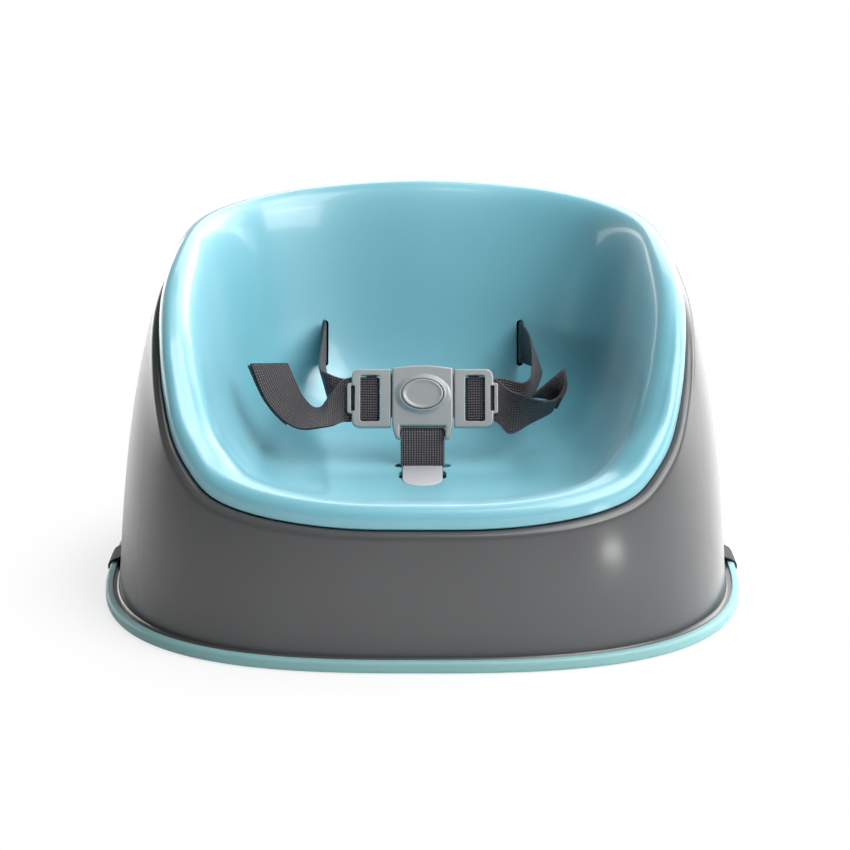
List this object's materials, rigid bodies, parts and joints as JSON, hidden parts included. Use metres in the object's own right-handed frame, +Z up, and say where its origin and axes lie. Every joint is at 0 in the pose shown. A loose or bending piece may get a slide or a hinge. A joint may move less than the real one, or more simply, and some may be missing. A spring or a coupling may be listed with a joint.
{
  "type": "child booster seat",
  "caption": "Bucket-shaped booster seat for a dining chair, with a lap and crotch harness, a centre buckle and straps that hold it on the chair.",
  "frame": {"origin": "middle of the footprint, on the surface that the seat stands on", "axes": "+X to the seat's left as its child sits, -Y to the front, +Z up"},
  "size_m": [0.3736, 0.3378, 0.2125],
  "materials": {
    "seat_plastic": "smooth, glossy",
    "base_plastic": "satin",
    "ring_rubber": "soft matt",
    "webbing": "ribbed weave",
    "buckle_plastic": "satin",
    "tab_plastic": "satin",
    "rod_plastic": "satin",
    "steel": "plain"
  },
  "bodies": {
    "seat": {"base_shell": "base_plastic", "seat_shell": "seat_plastic", "base_ring": "ring_rubber", "rim_screw_1": "steel", "rim_screw_2": "steel", "rim_screw_3": "steel", "rim_screw_4": "steel", "rim_screw_5": "steel", "rim_screw_6": "steel", "crotch_strap": "webbing", "crotch_keeper": "rod_plastic", "crotch_tab": "tab_plastic", "left_waist_strap": "webbing", "right_waist_strap": "webbing", "left_waist_keeper": "rod_plastic", "right_waist_keeper": "rod_plastic", "buckle_front": "buckle_plastic", "buckle_back": "buckle_plastic", "button_spring": "steel", "left_chair_strap": "webbing", "right_chair_strap": "webbing", "left_chair_rod": "rod_plastic", "right_chair_rod": "rod_plastic", "chair_buckle_socket": "buckle_plastic"},
    "button": {"release_button": "buckle_plastic"},
    "tongue_left": {"left_tongue": "buckle_plastic"},
    "tongue_right": {"right_tongue": "buckle_plastic"},
    "plug": {"chair_buckle_plug": "buckle_plastic"}
  },
  "joints": [
    {"name": "button_press", "type": "slide", "parent": "seat", "child": "button", "axis": [0, 0.9063, -0.4226], "range_m": [0, 0.0025], "stiffness_N_per_m": 800, "deforming": ["button_spring"]},
    {"name": "left_tongue_pull", "type": "slide", "parent": "seat", "child": "tongue_left", "axis": [-1, 0, 0], "range_m": [0, 0.026], "deforming": ["left_waist_strap"]},
    {"name": "right_tongue_pull", "type": "slide", "parent": "seat", "child": "tongue_right", "axis": [1, 0, 0], "range_m": [0, 0.026], "deforming": ["right_waist_strap"]},
    {"name": "chair_plug_pull", "type": "slide", "parent": "seat", "child": "plug", "axis": [1, 0, 0], "range_m": [0, 0.03], "deforming": ["right_chair_strap"]}
  ]
}
